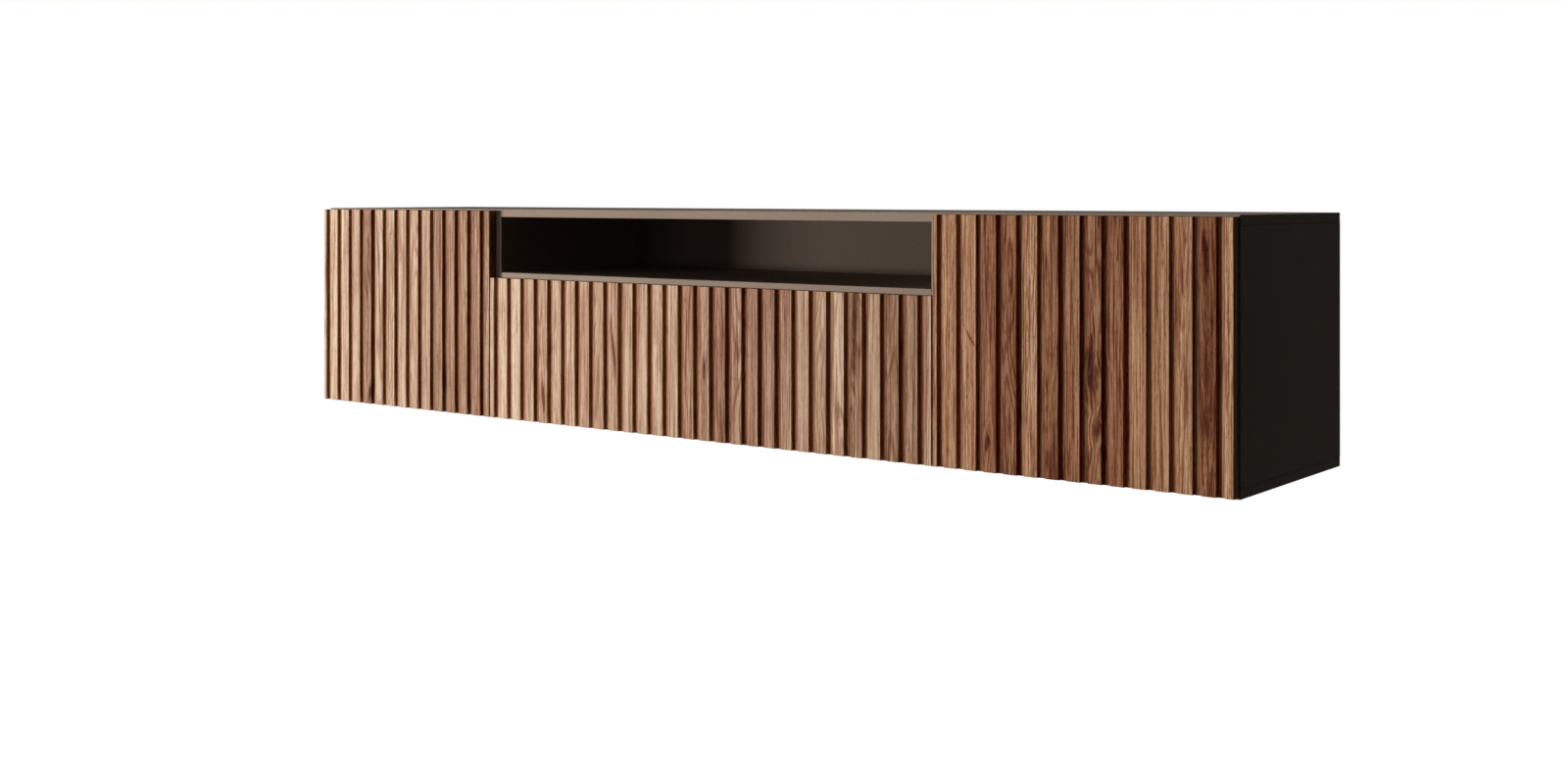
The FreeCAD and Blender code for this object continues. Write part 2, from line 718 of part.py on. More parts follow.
def hinge_plate():
    """Cross-shaped mounting plate, screwed to the board at its two wings."""
    low = size["board"]
    thick = size["plate_thickness"]
    start = size["plate_setback"]
    end = start + size["plate_length"]
    middle = (start + end) / 2
    rib = size["link_half_width"] + size["arm_play"]
    seat_half = rib + size["arm_wall"]
    radius = size["plate_wing_radius"]
    reach = size["plate_wing"] / 2 - radius
    plate = span((low, start, -rib), (low + thick + size["plate_rail"], end, rib))
    plate = plate.fuse(span((low, start, -seat_half), (low + thick, end, seat_half)))
    plate = plate.fuse(span((low, middle - radius, -reach), (low + thick, middle + radius, reach)))
    for side in (-reach, reach):
        base = V(low, middle, side)
        plate = plate.fuse(Part.makeCylinder(radius, thick, base, V(1, 0, 0)))
    for side in (-reach, reach):
        base = V(low - 1, middle, side)
        plate = plate.cut(Part.makeCylinder(size["screw_hole_radius"], thick + 2, base,
                                            V(1, 0, 0)))
    return plate.removeSplitter()


def hinge_pins():
    """The two pins of one hinge."""
    inset = cup_centre - cup_pin.x + size["hinge_pin_radius"]
    cup_half = math.sqrt(size["cup_radius"] ** 2 - inset ** 2) - size["hinge_pin_end"]
    arm_half = size["link_half_width"] + size["arm_play"] + size["arm_wall"]
    return [bar(cup_pin, size["hinge_pin_radius"], cup_half),
            bar(arm_pin, size["hinge_pin_radius"], arm_half)]


def frames(origins, turn):
    return [FreeCAD.Placement(V(*origin), turn) for origin in origins]


half_width = size["carcass_width"] / 2
bottom_z = value_of(BOTTOM)
top_z = size["hang_drop"]
front_plane = -size["carcass_depth"]
levels = [bottom_z + size["hinge_end"], top_z - size["hinge_end"]]
HINGE_SETS = {
    "left": frames([(-half_width, front_plane, level) for level in levels],
                   FreeCAD.Rotation()),
    "right": frames([(half_width, front_plane, level) for level in levels],
                    FreeCAD.Rotation(V(0, 1, 0), 180)),
    "flap": frames([(value_of(spot), front_plane, bottom_z) for spot in flap_hinge_places],
                   FreeCAD.Rotation(V(0, 1, 0), -90)),
}
HINGE_PIECES = {
    "hinge_cups": [hinge_cup()],
    "hinge_links": [hinge_link()],
    "hinge_pins": hinge_pins(),
    "hinge_arms": [hinge_arm()],
    "hinge_plates": [hinge_plate()],
}


def placed(solid, frame):
    copy = solid.copy()
    copy.Placement = frame.multiply(copy.Placement)
    return copy


for side, stations in HINGE_SETS.items():
    for name, solids in HINGE_PIECES.items():
        shape_node(f"{side}_{name}",
                   [placed(solid, frame) for frame in stations for solid in solids])


# ---------------------------------------------------------------------------------------------
# Push latches: a housing in the bay, a plunger that pushes the front open, and a steel disc
# let into the back of the front
# ---------------------------------------------------------------------------------------------

bore_radius = "plunger_radius + plunger_play"
tip_face = "(carcass_depth + front_gap - rest_gap)"
LATCHES = {
    "left": (f"-{DIVIDER_OUT} - latch_end", UNDER_TOP, "+"),
    "right": (f"{DIVIDER_OUT} + latch_end", UNDER_TOP, "-"),
    "flap_left": ("-" + flap_latch_place, NICHE_UNDER, "-"),
    "flap_right": (flap_latch_place, NICHE_UNDER, "+"),
}
discs = {}
for name, (px, ceiling, ear_side) in LATCHES.items():
    level = f"{ceiling} - latch_height / 2"
    case = box(name + "_latch_case", "latch_width", "latch_length", "latch_height",
               f"{px} - latch_width / 2", "-carcass_depth + latch_setback",
               f"{ceiling} - latch_height")
    ear_reach = "latch_width / 2 + latch_ear_width"
    ear_start = f"{px} - {ear_reach}" if ear_side == "-" else px
    ear = box(name + "_latch_ear", ear_reach, "latch_ear_length", "latch_ear_thickness",
              ear_start, "-carcass_depth + latch_setback + (latch_length - latch_ear_length) / 2",
              f"{ceiling} - latch_ear_thickness")
    bore = rod(name + "_latch_bore", bore_radius, "plunger_length + 1", px,
               "-carcass_depth", level, "y")
    tools = [bore]
    for end in ("-", "+"):
        tools.append(rod(f"{name}_latch_hole_{len(tools)}", "latch_ear_hole",
                         "2 * latch_ear_thickness",
                         f"{px} {ear_side} (latch_width / 2 + latch_ear_width / 2)",
                         "-carcass_depth + latch_setback + latch_length / 2"
                         f" {end} latch_hole_pitch / 2",
                         f"{ceiling} - 1.5 * latch_ear_thickness"))
    node(cut(name + "_latch", fused(name + "_latch_form", [case, ear]), tools), name + "_latch")
    stem = rod(name + "_plunger_stem", "plunger_radius", "plunger_length", px,
               f"-{tip_face}", level, "y")
    tip = rod(name + "_plunger_tip", "plunger_tip_radius", "plunger_tip_length", px,
              f"-{tip_face}", level, "y")
    node(fused(name + "_plunger", [stem, tip]), name + "_plunger")
    discs[name] = rod(name + "_disc_body", "disc_radius", "disc_thickness", px,
                      f"-{FRONT_BACK} - disc_thickness", level, "y")
node(discs["left"], "left_latch_disc")
node(discs["right"], "right_latch_disc")
node(group("flap_latch_discs", [discs["flap_left"], discs["flap_right"]]), "flap_latch_discs")


# ---------------------------------------------------------------------------------------------
# Bump pads on the backs of the fronts
# ---------------------------------------------------------------------------------------------

bump_height = "(front_gap - rest_gap)"
bump_sphere = f"((bump_radius ^ 2 + {bump_height} ^ 2) / (2 * {bump_height}))"
bump_offset = "(split_gap / 2 + bump_radius + bump_margin)"
door_low = f"({BOTTOM} + end_reveal + bump_inset)"
door_high = f"({TOP} - top_reveal - bump_inset)"
flap_high = f"({NICHE_UNDER} + flap_overlap - bump_inset)"
bumps = {
    "left_bump_pads": [(f"-{SPLIT} - {bump_offset}", door_low),
                       (f"-{SPLIT} - {bump_offset}", door_high)],
    "right_bump_pads": [(f"{SPLIT} + {bump_offset}", door_low),
                        (f"{SPLIT} + {bump_offset}", door_high)],
    "flap_bump_pads": [(f"-{SPLIT} + {bump_offset}", flap_high),
                       (f"{SPLIT} - {bump_offset}", flap_high)],
}
for label, spots in bumps.items():
    domes = []
    for number, (px, pz) in enumerate(spots):
        dome = doc.addObject("Part::Sphere", f"{label}_{number}")
        bind(dome, Radius=bump_sphere, Angle1=f"acos(bump_radius / {bump_sphere})")
        dome.Placement.Rotation = FreeCAD.Rotation(V(1, 0, 0), -90)
        place(dome, px, f"-{FRONT_BACK} + {bump_height} - {bump_sphere}", pz)
        domes.append(dome)
    node(group(label, domes), label)


# ---------------------------------------------------------------------------------------------
# Flap stays: a slotted arm pivots on the flap and slides over a fixed pin on the divider
# ---------------------------------------------------------------------------------------------

divider_in = value_of(DIVIDER_IN)
fixed_pin = V(0, front_plane + size["stay_pin_depth"], bottom_z + size["stay_pin_rise"])
pivot = V(0, front_plane + size["stay_pivot_depth"], bottom_z + size["stay_pivot_rise"])


def cross_rod(centre, radius, start, end):
    """A round bar along X between two distances."""
    low, high = sorted((start, end))
    return Part.makeCylinder(radius, high - low, V(low, centre.y, centre.z), V(1, 0, 0))


def stay_arm(side):
    """Flat steel strip with a long slot, lying against the fixed pin."""
    near = side * (divider_in - size["stay_side_gap"])
    far = near - side * size["stay_thickness"]
    low = min(near, far)
    aim = V(fixed_pin - pivot).normalize()
    across = V(0, -aim.z, aim.y)

    def bean(start, end, half):
        """A strip with round ends, in the plane of the arm."""
        first = pivot + aim * start + V(low, 0, 0)
        last = pivot + aim * end + V(low, 0, 0)
        sides = [first + across * half, last + across * half,
                 last - across * half, first - across * half]
        edges = [Part.LineSegment(sides[0], sides[1]).toShape(),
                 Part.Arc(sides[1], last + aim * half, sides[2]).toShape(),
                 Part.LineSegment(sides[2], sides[3]).toShape(),
                 Part.Arc(sides[3], first - aim * half, sides[0]).toShape()]
        return Part.Face(Part.Wire(edges)).extrude(V(size["stay_thickness"], 0, 0))

    half = size["stay_width"] / 2
    slot_half = size["stay_pin_radius"] + size["stay_slot_play"]
    strip = bean(0, size["stay_open_reach"] + half, half)
    slot = bean(size["stay_closed_reach"] - 1, size["stay_open_reach"] + 1, slot_half)
    eye = cross_rod(pivot, size["stay_pin_radius"] + size["hinge_pin_play"],
                    near + side, far - side)
    return strip.cut(slot).cut(eye)


def stay_post(side):
    """Round plate on the divider with the headed pin that the arm slides on."""
    face = side * divider_in
    play = size["stay_play"]
    arm_near = face - side * size["stay_side_gap"]
    head_start = arm_near - side * (size["stay_thickness"] + play)
    plate = cross_rod(fixed_pin, size["post_plate_radius"], face,
                      face - side * size["post_plate_thickness"])
    collar = cross_rod(fixed_pin, size["post_collar_radius"], face, arm_near + side * play)
    pin = cross_rod(fixed_pin, size["stay_pin_radius"], face,
                    head_start - side * size["stay_head_length"])
    head = cross_rod(fixed_pin, size["stay_head_radius"], head_start,
                     head_start - side * size["stay_head_length"])
    post = plate.fuse(collar).fuse(pin).fuse(head)
    ring = (size["post_collar_radius"] + size["post_plate_radius"]) / 2
    for step in (-ring, ring):
        hole = cross_rod(fixed_pin + V(0, 0, step), size["latch_ear_hole"],
                         face + side, face - side * (size["post_plate_thickness"] + 1))
        post = post.cut(hole)
    return post.removeSplitter()


def stay_lug(side):
    """Angle bracket on the back of the flap, with the pin that the arm turns on."""
    near = side * (divider_in - size["stay_side_gap"])
    far = near - side * size["stay_thickness"]
    start = far - side * size["stay_play"]
    back = front_plane - size["front_gap"]
    low_z = pivot.z - size["lug_half_height"]
    high_z = pivot.z + size["lug_half_height"]
    wall = (start, start - side * size["lug_wall"])
    foot = (start, start - side * size["lug_foot"])
    ear = span((min(wall), back, low_z), (max(wall), pivot.y + size["lug_nose"], high_z))
    base = span((min(foot), back, low_z),
                (max(foot), back + size["lug_foot_thickness"], high_z))
    pin = cross_rod(pivot, size["stay_pin_radius"], start - side,
                    near + side * size["stay_head_length"])
    lug = ear.fuse(base).fuse(pin)
    for step in (-size["lug_hole_pitch"] / 2, size["lug_hole_pitch"] / 2):
        centre = V(start - side * size["lug_hole_inset"], back - 1, pivot.z + step)
        lug = lug.cut(Part.makeCylinder(size["latch_ear_hole"], size["lug_foot_thickness"] + 2,
                                        centre, V(0, 1, 0)))
    return lug.removeSplitter()


shape_node("stay_arms", [stay_arm(-1), stay_arm(1)])
shape_node("stay_posts", [stay_post(-1), stay_post(1)])
shape_node("stay_lugs", [stay_lug(-1), stay_lug(1)])


# ---------------------------------------------------------------------------------------------
# Cabinet hangers and the plates that they hook on
# ---------------------------------------------------------------------------------------------

plate_low = "(-wall_screw_pitch / 2 - wall_plate_margin)"
plate_high = "(wall_screw_pitch / 2 + wall_plate_margin)"
channel_depth = "(wall_plate_metal + hook_channel)"
lip_top = f"({plate_high} + wall_plate_metal + hook_lip)"
outer = f"({SIDE_FACE} - back_fit)"
hook_front = f"({channel_depth} + hook_reach)"
case_back = f"({hook_front} + hook_metal)"
for name, sign in (("left", "-"), ("right", "")):
    start = f"-{outer}" if sign else f"{outer} - wall_plate_width"
    flat = box(name + "_wall_flat", "wall_plate_width", "wall_plate_metal",
               f"{plate_high} - {plate_low}", start, "-wall_plate_metal", plate_low)
    web = box(name + "_wall_web", "wall_plate_width", channel_depth, "wall_plate_metal",
              start, "-" + channel_depth, plate_high)
    lip = box(name + "_wall_lip", "wall_plate_width", "wall_plate_metal",
              "wall_plate_metal + hook_lip", start, "-" + channel_depth, plate_high)
    holes = [rod(f"{name}_wall_hole_{end}", "wall_screw_radius", "2 * wall_plate_metal",
                 sign + WALL_SCREW, "-1.5 * wall_plate_metal",
                 f"{side}wall_screw_pitch / 2", "y")
             for end, side in (("low", "-"), ("high", ""))]
    plate = cut(name + "_wall_plate", fused(name + "_wall_form", [flat, web, lip]), holes)
    node(plate, name + "_wall_plate")

    hook_start = (f"-{outer} + hook_margin" if sign
                  else f"{outer} - hook_width - hook_margin")
    bridge = box(name + "_hook_bridge", "hook_width",
                 "hook_reach + wall_plate_metal + rest_gap + hook_metal", "hook_metal",
                 hook_start, "-" + hook_front, lip_top)
    tab = box(name + "_hook_tab", "hook_width", "hook_metal",
              "hook_metal + hook_lip - rest_gap", hook_start,
              f"-{channel_depth} + wall_plate_metal + rest_gap",
              f"{plate_high} + wall_plate_metal + rest_gap")
    stem = box(name + "_hook_stem", "hook_width", "hook_metal", "hook_metal + hook_drop",
               hook_start, "-" + case_back, f"{lip_top} - hook_drop")
    node(fused(name + "_hook", [bridge, tab, stem]), name + "_hanger_hook")

    case_start = f"-{SIDE_FACE}" if sign else f"{SIDE_FACE} - hanger_width"
    case_low = f"({UNDER_TOP} - hanger_top_gap - hanger_height)"
    case_front = f"-{case_back} - hanger_depth"
    case = box(name + "_hanger_case", "hanger_width", "hanger_depth", "hanger_height",
               case_start, case_front, case_low)
    screws = [rod(f"{name}_hanger_screw_{end}", "hanger_screw_radius",
                  "hanger_screw_depth + 1", f"{case_start} + hanger_width / 2",
                  f"{case_front} - 1",
                  f"{case_low} + hanger_height / 2 {end} hanger_screw_pitch / 2", "y")
              for end in ("-", "+")]
    node(cut(name + "_hanger_form", case, screws), name + "_hanger")


# ---------------------------------------------------------------------------------------------
# Check and export
# ---------------------------------------------------------------------------------------------

doc.recompute()
for thing in doc.Objects:
    if {"Invalid", "Error"} & set(thing.State):
        raise RuntimeError(f"{thing.Label} failed: {thing.State}")
for thing in nodes:
    if thing.Shape.isNull() or not thing.Shape.isValid():
        raise RuntimeError(f"{thing.Label} has no valid shape")

os.makedirs("parts", exist_ok=True)
for thing in nodes:
    thing.Shape.exportStep(f"parts/{thing.Label}.step")
print(len(nodes), "nodes,", sum(len(thing.Shape.Solids) for thing in nodes), "solids")
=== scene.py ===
import math
import bpy
from mathutils import Matrix, Vector


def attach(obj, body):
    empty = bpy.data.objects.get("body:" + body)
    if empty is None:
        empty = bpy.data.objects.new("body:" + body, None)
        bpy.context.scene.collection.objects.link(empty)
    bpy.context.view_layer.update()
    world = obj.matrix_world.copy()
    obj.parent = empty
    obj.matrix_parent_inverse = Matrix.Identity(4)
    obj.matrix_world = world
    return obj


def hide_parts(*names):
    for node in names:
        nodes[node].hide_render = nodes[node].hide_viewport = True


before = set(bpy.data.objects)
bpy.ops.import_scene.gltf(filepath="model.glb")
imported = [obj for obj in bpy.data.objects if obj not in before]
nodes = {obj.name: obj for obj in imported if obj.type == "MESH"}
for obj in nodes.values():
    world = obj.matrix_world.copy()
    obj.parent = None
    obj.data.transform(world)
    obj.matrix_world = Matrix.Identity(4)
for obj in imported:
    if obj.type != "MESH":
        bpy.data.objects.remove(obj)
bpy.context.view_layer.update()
scene = bpy.context.scene
scene.view_settings.view_transform = "Standard"

# ---------------------------------------------------------------------------------------------
# Camera, lamps and floor
# Eye level just over the cabinet's top, from its front right. A low wide lamp stands at the
# front left with a weak one before the fronts. Others light the top, the back and the
# underside, a weak pale sky fills the shadows, and a white floor lies far below.

camera = bpy.data.objects.new("camera", bpy.data.cameras.new("camera"))
camera.location = (1.99304, -2.73568, 0.09261)
camera.rotation_euler = (math.radians(90), 0, math.radians(37.475))
camera.data.sensor_width = 36
camera.data.lens = 40.432
camera.data.shift_y = -0.12113
scene.collection.objects.link(camera)
scene.camera = camera

# Each lamp's name, place, target, width and height, and its power in watts.
lamps = (("front_lamp", (-3.80, -4.13, -0.08), (-0.49, -0.39, -0.13), 1.6, 0.25, 364),
         ("fill_lamp", (-0.90, -4.60, 0.00), (-0.10, -0.39, -0.10), 2.2, 0.5, 20),
         ("top_lamp", (0.0, 2.2, 3.4), (0.0, -0.1, 0.0), 1.6, 1.2, 55),
         ("back_lamp", (-1.20, 4.40, -0.14), (0.0, 0.0, -0.14), 3.0, 0.38, 175),
         ("low_lamp", (0.0, -0.20, -1.20), (0.0, -0.20, 0.0), 1.8, 0.25, 9))
for name, place, target, width, height, power in lamps:
    lamp = bpy.data.lights.new(name, "AREA")
    lamp.shape = "RECTANGLE"
    lamp.size = width
    lamp.size_y = height
    lamp.energy = power
    lamp.color = (1.0, 0.985, 0.955)
    holder = bpy.data.objects.new(name, lamp)
    holder.location = place
    aim = Vector(target) - Vector(place)
    holder.rotation_euler = aim.to_track_quat("-Z", "Y").to_euler()
    scene.collection.objects.link(holder)


def add_node(tree, kind, inputs=None, **settings):
    """A shader node with its settings, inputs linked or set."""
    made = tree.nodes.new(kind)
    for key, value in settings.items():
        setattr(made, key, value)
    for key, value in (inputs or {}).items():
        if isinstance(value, bpy.types.NodeSocket):
            tree.links.new(value, made.inputs[key])
        else:
            made.inputs[key].default_value = value
    return made


def seen_directly(tree, gloss_share=0.4):
    """1 for rays from the camera or through glass, a share of it for gloss, and 0 for light."""
    path = add_node(tree, "ShaderNodeLightPath").outputs
    gloss = add_node(tree, "ShaderNodeMath", {0: path["Is Glossy Ray"], 1: gloss_share},
                     operation="MULTIPLY")
    straight = add_node(tree, "ShaderNodeMath", {0: path["Is Camera Ray"], 1: gloss.outputs[0]},
                        operation="MAXIMUM")
    seen = add_node(tree, "ShaderNodeMath",
                    {0: straight.outputs[0], 1: path["Is Transmission Ray"]},
                    operation="MAXIMUM")
    return seen.outputs[0]


sky = bpy.data.worlds.new("sky")
scene.world = sky
sky.use_nodes = True
sky_tree = sky.node_tree
sky_tree.nodes.clear()
glow = add_node(sky_tree, "ShaderNodeBackground",
                {"Color": (1.0, 0.98, 0.95, 1), "Strength": 0.02})
backdrop = add_node(sky_tree, "ShaderNodeBackground", {"Color": (1, 1, 1, 1), "Strength": 1.0})
sky_mix = add_node(sky_tree, "ShaderNodeMixShader", {0: seen_directly(sky_tree),
                                                     1: glow.outputs[0], 2: backdrop.outputs[0]})
add_node(sky_tree, "ShaderNodeOutputWorld", {"Surface": sky_mix.outputs[0]})

floor_level = -1.25
fade_start, fade_end, near_white = 3.0, 14.0, 0.93
bpy.ops.object.select_all(action="DESELECT")
bpy.ops.mesh.primitive_plane_add(size=60, location=(0, 0, floor_level))
floor = bpy.context.object
floor.name = "floor"
paint = bpy.data.materials.new("floor_white")
paint.use_nodes = True
paint_tree = paint.node_tree
paint_tree.nodes.clear()
matt = add_node(paint_tree, "ShaderNodeBsdfDiffuse", {"Color": (0.85, 0.85, 0.85, 1)})
dim = add_node(paint_tree, "ShaderNodeBsdfDiffuse", {"Color": (0.05, 0.05, 0.05, 1)})
reach = add_node(paint_tree, "ShaderNodeVectorMath",
                 {0: add_node(paint_tree, "ShaderNodeTexCoord").outputs["Object"]},
                 operation="LENGTH")
fade = add_node(paint_tree, "ShaderNodeMapRange",
                {0: reach.outputs["Value"], 1: fade_start, 2: fade_end, 3: near_white, 4: 1.0})
white = add_node(paint_tree, "ShaderNodeEmission", {"Color": (1, 1, 1, 1),
                                                    "Strength": fade.outputs[0]})
bright = add_node(paint_tree, "ShaderNodeAddShader", {0: matt.outputs[0], 1: white.outputs[0]})
paint_mix = add_node(paint_tree, "ShaderNodeMixShader", {0: seen_directly(paint_tree),
                                                         1: dim.outputs[0], 2: bright.outputs[0]})
add_node(paint_tree, "ShaderNodeOutputMaterial", {"Surface": paint_mix.outputs[0]})
floor.data.materials.append(paint)

# ---------------------------------------------------------------------------------------------
# Carcass boards
# Particle board under a matt taupe foil, cut square, edge-banded and screwed up with cams.
# The foil has a very fine pore and a slow, faint change of tone.


class Finish:
    """A material in the making: a Principled shader, and nodes over the object's own space."""

    def __init__(self, name, roughness=0.5, level=0.5, metallic=0.0, colour=(0.5, 0.5, 0.5)):
        self.material = bpy.data.materials.new(name)
        self.material.use_nodes = True
        self.tree = self.material.node_tree
        self.shader = self.tree.nodes["Principled BSDF"]
        self.shader.inputs["Roughness"].default_value = roughness
        self.shader.inputs["Specular IOR Level"].default_value = level
        self.shader.inputs["Metallic"].default_value = metallic
        self.shader.inputs["Base Color"].default_value = (*colour, 1)
        self.space = add_node(self.tree, "ShaderNodeTexCoord").outputs["Object"]
        split = add_node(self.tree, "ShaderNodeSeparateXYZ", {0: self.space})
        self.x, self.y, self.z = split.outputs

    def sum(self, operation, *values):
        """A Math node's result."""
        inputs = dict(enumerate(values))
        return add_node(self.tree, "ShaderNodeMath", inputs, operation=operation).outputs[0]

    def stretched(self, scale, offset=(0, 0, 0)):
        """The object's space, stretched per axis and moved."""
        node = add_node(self.tree, "ShaderNodeVectorMath", {0: self.space, 1: scale, 2: offset},
                        operation="MULTIPLY_ADD")
        return node.outputs[0]

    def noise(self, space, scale, detail=2.0, roughness=0.5, distortion=0.0):
        """Soft noise from 0 to 1."""
        node = add_node(self.tree, "ShaderNodeTexNoise",
                        {"Vector": space, "Scale": scale, "Detail": detail,
                         "Roughness": roughness, "Distortion": distortion})
        return node.outputs["Fac"]

    def ranged(self, value, low, high, new_low=0.0, new_high=1.0):
        """A value moved from one range to another, and held inside it."""
        node = add_node(self.tree, "ShaderNodeMapRange",
                        {0: value, 1: low, 2: high, 3: new_low, 4: new_high})
        return node.outputs[0]

    def mixed(self, share, first, second, blend="MIX"):
        """Two colours mixed."""
        node = add_node(self.tree, "ShaderNodeMix", data_type="RGBA", blend_type=blend)
        for socket, value in zip((node.inputs[0], node.inputs[6], node.inputs[7]),
                                 (share, first, second)):
            if isinstance(value, bpy.types.NodeSocket):
                self.tree.links.new(value, socket)
            elif isinstance(value, tuple):
                socket.default_value = (*value, 1)
            else:
                socket.default_value = value
        return node.outputs[2]

    def wear(self, colour=None, roughness=None, relief=None, height=0.0001, strength=1.0):
        """Links colour, roughness and a bump to the shader."""
        if colour is not None:
            self.tree.links.new(colour, self.shader.inputs["Base Color"])
        if roughness is not None:
            self.tree.links.new(roughness, self.shader.inputs["Roughness"])
        if relief is not None:
            bump = add_node(self.tree, "ShaderNodeBump",
                            {"Height": relief, "Distance": height, "Strength": strength})
            self.tree.links.new(bump.outputs[0], self.shader.inputs["Normal"])
        return self.material


def dressed(finish, *names):
    """Gives CAD nodes a finish in place of their plain one."""
    for name in names:
        nodes[name].data.materials.clear()
        nodes[name].data.materials.append(finish)


top_joint, bottom_joint, side_face = 0.048, -0.322, 0.9984
joint_edge, joint_core = 0.0018, 0.0006
foil = Finish("taupe_foil", level=0.04)
cloud = foil.noise(foil.space, scale=3.0, detail=3.0)
pore = foil.noise(foil.space, scale=900.0, detail=2.0)
speck = foil.noise(foil.space, scale=260.0, detail=3.0)
tone = foil.mixed(foil.ranged(cloud, 0.35, 0.65), (0.262, 0.198, 0.152), (0.290, 0.221, 0.172))
tone = foil.mixed(foil.ranged(speck, 0.45, 0.75, 0.0, 0.25), tone, (0.225, 0.170, 0.130))
# Painted shade: a dark hairline on the outer faces of the side panels along the seams with the top
# and bottom panels, deepening the shade in the seams.
off_joint = foil.sum("MINIMUM",
                     foil.sum("ABSOLUTE", foil.sum("SUBTRACT", foil.z, top_joint)),
                     foil.sum("ABSOLUTE", foil.sum("SUBTRACT", foil.z, bottom_joint)))
outside = foil.sum("GREATER_THAN", foil.sum("ABSOLUTE", foil.x), side_face)
line = foil.sum("MULTIPLY", outside, foil.ranged(off_joint, joint_edge, joint_core))
tone = foil.mixed(line, tone, (0.03, 0.022, 0.016))
taupe = foil.wear(tone, foil.ranged(speck, 0.3, 0.7, 0.52, 0.64), pore,
                  height=0.00006, strength=0.6)
dressed(taupe, "top_panel", "bottom_panel", "left_side_panel", "right_side_panel",
        "left_divider", "right_divider", "niche_shelf", "left_shelf", "right_shelf")

# ---------------------------------------------------------------------------------------------
# Cam fittings and dowels
# Zinc die-cast cams lie flush in the side panels and dividers, and a screwdriver in their cross
# recess pulls each joint tight. Beech dowels beside them keep the boards in line.

casting = Finish("zinc_casting", metallic=1.0)
grit = casting.noise(casting.space, scale=1500.0, detail=3.0)
tone = casting.mixed(casting.ranged(grit, 0.35, 0.65), (0.34, 0.34, 0.35), (0.47, 0.47, 0.47))
zinc_casting = casting.wear(tone, casting.ranged(grit, 0.3, 0.7, 0.42, 0.6), grit,
                            height=0.00008)

beech = Finish("beech", level=0.2, roughness=0.6)
fleck = beech.noise(beech.stretched((1, 1, 0.1)), scale=900.0, detail=3.0)
tone = beech.mixed(beech.ranged(fleck, 0.35, 0.65), (0.52, 0.36, 0.21), (0.66, 0.49, 0.31))
dressed(beech.wear(tone, relief=fleck, height=0.0001), "dowels")


def pick(kind, test):
    """Picks the faces or edges of the active piece by their middle and their direction."""
    bpy.ops.object.mode_set(mode="EDIT")
    bpy.ops.mesh.select_mode(type=kind)
    bpy.ops.mesh.select_all(action="DESELECT")
    bpy.ops.object.mode_set(mode="OBJECT")
    mesh = bpy.context.object.data
    if kind == "FACE":
        for face in mesh.polygons:
            face.select = test(face.center, face.normal)
    else:
        for edge in mesh.edges:
            start, end = (mesh.vertices[number].co for number in edge.vertices)
            edge.select = test((start + end) / 2, (end - start).normalized())
    bpy.ops.object.mode_set(mode="EDIT")


def settle():
    """Ends the edit and gives the active piece's place, turn and scale to its mesh."""
    if bpy.context.object.mode == "EDIT":
        bpy.ops.object.mode_set(mode="OBJECT")
    bpy.ops.object.transform_apply(location=True, rotation=True, scale=True)


def cross_head(radius, height):
    """A round head with a cross recess. Its foot is at the origin and it faces up."""
    wing, reach, taper = 0.34 * radius, 0.45 * radius, 0.75
    depth = min(0.75 * height, 0.8 * radius)
    rounding = min(0.5 * height, 0.2 * radius)
    bpy.ops.object.select_all(action="DESELECT")
    bpy.ops.mesh.primitive_cube_add(size=wing, location=(0, 0, 0))
    bit = bpy.context.object
    pick("FACE", lambda middle, facing: abs(facing.z) < 0.5)
    bpy.ops.mesh.extrude_faces_move(TRANSFORM_OT_shrink_fatten={"value": reach})
    pick("FACE", lambda middle, facing: facing.z < -0.5)
    bpy.ops.transform.resize(value=(taper, taper, 1), center_override=(0, 0, 0))
    bpy.ops.object.mode_set(mode="OBJECT")
    bit.scale.z = 2 * depth / wing
    bit.location.z = height
    settle()

    bpy.ops.object.select_all(action="DESELECT")
    bpy.ops.mesh.primitive_cylinder_add(vertices=32, radius=radius, depth=height,
                                        location=(0, 0, height / 2))
    head = bpy.context.object
    pick("EDGE", lambda middle, run: middle.z > 0.49 * height)
    bpy.ops.mesh.bevel(offset=rounding, segments=3)
    settle()
    recess = head.modifiers.new("recess", "BOOLEAN")
    recess.operation = "DIFFERENCE"
    recess.object = bit
    bpy.ops.object.modifier_apply(modifier="recess")
    bpy.data.objects.remove(bit)
    return head


def fitted(name, finish, body, sharp_from=40):
    """Names the active piece, smooths and finishes it, and lets it ride on a CAD body."""
    made = bpy.context.object
    made.name = name
    made.data.name = name
    made.data.materials.append(finish)
    bpy.ops.object.shade_smooth_by_angle(angle=math.radians(sharp_from))
    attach(made, body)
    return made


def heads(name, places, out, radius, height, body, finish, slot="pin_steel"):
    """Alike heads in one piece. Each stands on its place, faces out and has its own turn."""
    least_turn, turn_per_metre = 0.4, 37
    first = cross_head(radius, height)
    copies = [first]
    for place in places[1:]:
        copy = first.copy()
        copy.data = first.data.copy()
        scene.collection.objects.link(copy)
        copy.select_set(True)
        copies.append(copy)
    upright = Vector((0, 0, 1)).rotation_difference(Vector(out))
    for copy, place in zip(copies, places):
        angle = least_turn + turn_per_metre * (place[0] + place[2])
        own_turn = Matrix.Rotation(angle, 3, "Z").to_quaternion()
        copy.rotation_euler = (upright @ own_turn).to_euler()
        copy.location = place
    settle()
    bpy.ops.object.join()
    return fitted(name, finish, body, sharp_from=30)


